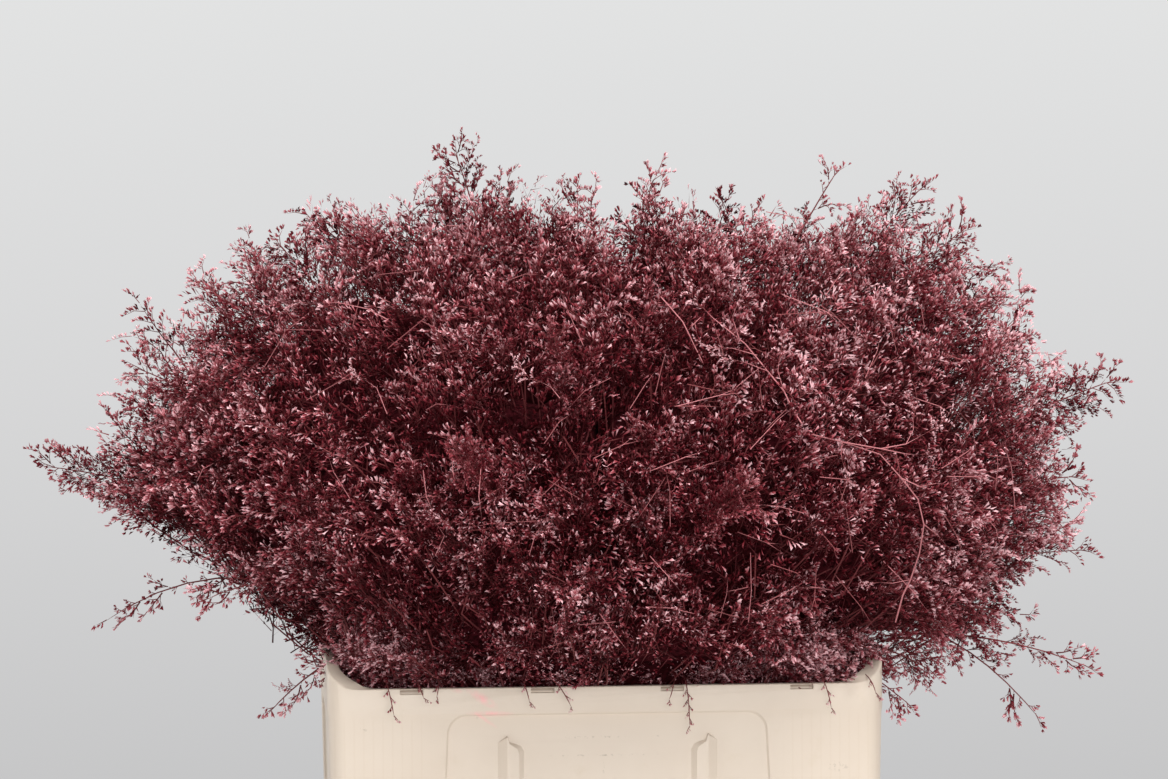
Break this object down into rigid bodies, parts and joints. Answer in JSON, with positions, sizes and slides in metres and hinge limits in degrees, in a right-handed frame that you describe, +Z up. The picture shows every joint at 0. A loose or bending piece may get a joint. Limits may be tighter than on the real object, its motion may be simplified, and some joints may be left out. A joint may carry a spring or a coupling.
{
  "type": "dried statice",
  "caption": "Dried dyed statice in tied bunches that stand dry in a rectangular moulded flower crate, with one wide mass of fine sprigs over the rim.",
  "frame": {"origin": "middle of the crate's underside, on the ground", "axes": "+X along the crate's long side, -Y out of the front long side, +Z up"},
  "size_m": [0.839, 0.5894, 0.713],
  "materials": {
    "crate_plastic": "cream moulded plastic, slightly glossy and stained from use",
    "dyed_statice": "dry dusty maroon florets and thin woody stems",
    "elastic": "matt tan elastic"
  },
  "bodies": {
    "root": {"crate": "crate_plastic", "bunch_01": "dyed_statice", "bunch_02": "dyed_statice", "bunch_03": "dyed_statice", "bunch_04": "dyed_statice", "bunch_05": "dyed_statice", "bunch_06": "dyed_statice", "bunch_07": "dyed_statice", "bunch_08": "dyed_statice", "bunch_09": "dyed_statice", "bunch_10": "dyed_statice", "bunch_11": "dyed_statice", "bunch_12": "dyed_statice", "band_01": "elastic", "band_02": "elastic", "band_03": "elastic", "band_04": "elastic", "band_05": "elastic", "band_06": "elastic", "band_07": "elastic", "band_08": "elastic", "band_09": "elastic", "band_10": "elastic", "band_11": "elastic", "band_12": "elastic"}
  },
  "joints": []
}
